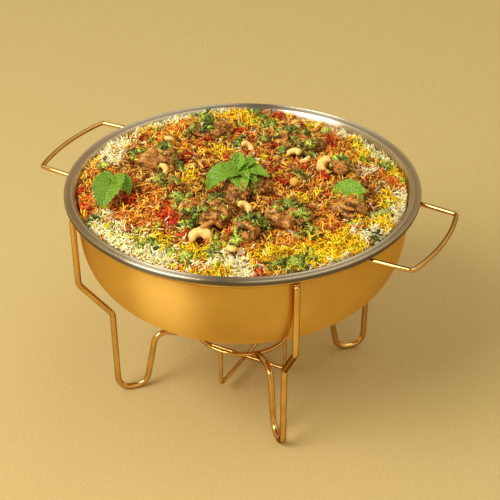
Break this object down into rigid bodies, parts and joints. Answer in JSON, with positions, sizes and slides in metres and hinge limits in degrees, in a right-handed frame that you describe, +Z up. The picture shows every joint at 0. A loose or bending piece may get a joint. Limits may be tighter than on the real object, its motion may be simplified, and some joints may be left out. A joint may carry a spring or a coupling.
{
  "type": "biryani in a bowl on a wire stand",
  "caption": "Layered rice with browned meat, cashews and mint heaped in a deep round-bottomed gold bowl, hung in a four-legged wire stand with loop handles and a burner ring.",
  "frame": {"origin": "the point of the floor under the centre of the bowl", "axes": "+X towards the right handle, so that both handles lie on the X axis, +Y to the side that is behind when the right handle is on the right, +Z up"},
  "size_m": [0.485, 0.4, 0.3115],
  "materials": {
    "gold_bowl": "satin-polished gold colour outside, polished steel inside and on the rim",
    "steel_inside": "polished steel, on the bowl's inside, flange and rolled edge",
    "gold_wire": "polished gold colour on round steel wire",
    "rice": "long steamed grains, white, yellow and orange, moist",
    "meat": "browned stewed meat, fibrous, with a thin spiced gravy",
    "cashew": "fried cashew nut, golden, satin",
    "chickpea": "boiled chickpea, satin",
    "tomato": "wet tomato piece",
    "bone": "cooked bone end",
    "cinnamon": "soaked cinnamon bark",
    "chilli": "pale green chilli piece",
    "mint": "fresh mint leaf, satin with lighter veins",
    "herbs": "chopped coriander and mint, wet",
    "fried_onion": "thin crisp fried onion strips and masala crumbs"
  },
  "bodies": {
    "root": {"bone": "bone", "bowl": "gold_bowl", "burner_ring": "gold_wire", "cashew_back_1": "cashew", "cashew_back_2": "cashew", "cashew_back_3": "cashew", "cashew_behind_mint": "cashew", "cashew_far_left": "cashew", "cashew_front": "cashew", "cashew_front_left": "cashew", "cashew_front_small": "cashew", "cashew_inner": "cashew", "cashew_left": "cashew", "chickpea": "chickpea", "chilli_piece": "chilli", "cinnamon_stick": "cinnamon", "cradle_wire_lower": "gold_wire", "cradle_wire_upper": "gold_wire", "handle_left": "gold_wire", "handle_right": "gold_wire", "leg_back": "gold_wire", "leg_front": "gold_wire", "leg_left": "gold_wire", "leg_right": "gold_wire", "meat_back": "meat", "meat_back_left": "meat", "meat_bone_side": "meat", "meat_front": "meat", "meat_front_left": "meat", "meat_left": "meat", "meat_middle": "meat", "meat_middle_small": "meat", "meat_right": "meat", "meat_right_back": "meat", "meat_streaky": "meat", "mint_leaf_right": "mint", "mint_leaf_small": "mint", "mint_pair": "mint", "mint_sprig": "mint", "rice_heap": "rice", "tomato_1": "tomato", "tomato_2": "tomato", "top_ring": "gold_wire"}
  },
  "joints": []
}
